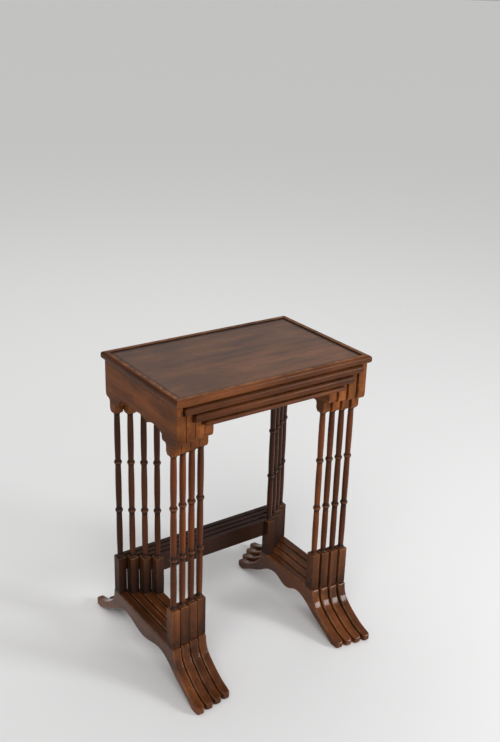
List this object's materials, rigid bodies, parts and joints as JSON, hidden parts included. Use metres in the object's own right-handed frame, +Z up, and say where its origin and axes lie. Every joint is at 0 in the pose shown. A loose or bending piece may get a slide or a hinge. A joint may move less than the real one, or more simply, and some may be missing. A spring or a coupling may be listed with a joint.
{
  "type": "nesting tables",
  "caption": "Nest of slim occasional tables: edged tops, arched side friezes, ring-turned legs on blocks, swept feet and rear stretchers. The smaller tables slide out to the front.",
  "frame": {"origin": "on the floor, under the middle of the largest top", "axes": "+Z up, -Y towards the front, where the smaller tables draw out, +X to the right seen from the front"},
  "size_m": [0.508, 0.494, 0.716],
  "materials": {
    "top_board_wood": "dark red-brown hardwood, straight grain along the width, satin-gloss polish",
    "top_edge_wood": "same hardwood, rounded moulding, polish worn a little lighter on the high line",
    "frieze_wood": "dark red-brown hardwood, satin polish",
    "leg_wood": "turned hardwood, satin polish, darker in the grooves beside the rings",
    "foot_wood": "sawn and shaped hardwood, satin polish with broad highlights on the swept feet",
    "stretcher_wood": "dark hardwood, flatter polish"
  },
  "bodies": {
    "large_table": {"large_top_board": "top_board_wood", "large_top_edge": "top_edge_wood", "large_frieze_left": "frieze_wood", "large_frieze_right": "frieze_wood", "large_leg_front_left": "leg_wood", "large_leg_front_right": "leg_wood", "large_leg_rear_left": "leg_wood", "large_leg_rear_right": "leg_wood", "large_foot_rail_left": "foot_wood", "large_foot_rail_right": "foot_wood", "large_block_front_left": "foot_wood", "large_block_front_right": "foot_wood", "large_block_rear_left": "foot_wood", "large_block_rear_right": "foot_wood", "large_stretcher": "stretcher_wood"},
    "second_table": {"second_top_board": "top_board_wood", "second_top_edge": "top_edge_wood", "second_frieze_left": "frieze_wood", "second_frieze_right": "frieze_wood", "second_leg_front_left": "leg_wood", "second_leg_front_right": "leg_wood", "second_leg_rear_left": "leg_wood", "second_leg_rear_right": "leg_wood", "second_foot_rail_left": "foot_wood", "second_foot_rail_right": "foot_wood", "second_block_front_left": "foot_wood", "second_block_front_right": "foot_wood", "second_block_rear_left": "foot_wood", "second_block_rear_right": "foot_wood", "second_stretcher": "stretcher_wood"},
    "third_table": {"third_top_board": "top_board_wood", "third_top_edge": "top_edge_wood", "third_frieze_left": "frieze_wood", "third_frieze_right": "frieze_wood", "third_leg_front_left": "leg_wood", "third_leg_front_right": "leg_wood", "third_leg_rear_left": "leg_wood", "third_leg_rear_right": "leg_wood", "third_foot_rail_left": "foot_wood", "third_foot_rail_right": "foot_wood", "third_block_front_left": "foot_wood", "third_block_front_right": "foot_wood", "third_block_rear_left": "foot_wood", "third_block_rear_right": "foot_wood", "third_stretcher": "stretcher_wood"},
    "small_table": {"small_top_board": "top_board_wood", "small_top_edge": "top_edge_wood", "small_frieze_left": "frieze_wood", "small_frieze_right": "frieze_wood", "small_leg_front_left": "leg_wood", "small_leg_front_right": "leg_wood", "small_leg_rear_left": "leg_wood", "small_leg_rear_right": "leg_wood", "small_foot_rail_left": "foot_wood", "small_foot_rail_right": "foot_wood", "small_block_front_left": "foot_wood", "small_block_front_right": "foot_wood", "small_block_rear_left": "foot_wood", "small_block_rear_right": "foot_wood", "small_stretcher": "stretcher_wood"}
  },
  "joints": [
    {"name": "second_table_slide", "type": "slide", "parent": "large_table", "child": "second_table", "axis": [0, -1, 0], "range_m": [0, 0.48]},
    {"name": "third_table_slide", "type": "slide", "parent": "second_table", "child": "third_table", "axis": [0, -1, 0], "range_m": [0, 0.48]},
    {"name": "small_table_slide", "type": "slide", "parent": "third_table", "child": "small_table", "axis": [0, -1, 0], "range_m": [0, 0.48]}
  ]
}
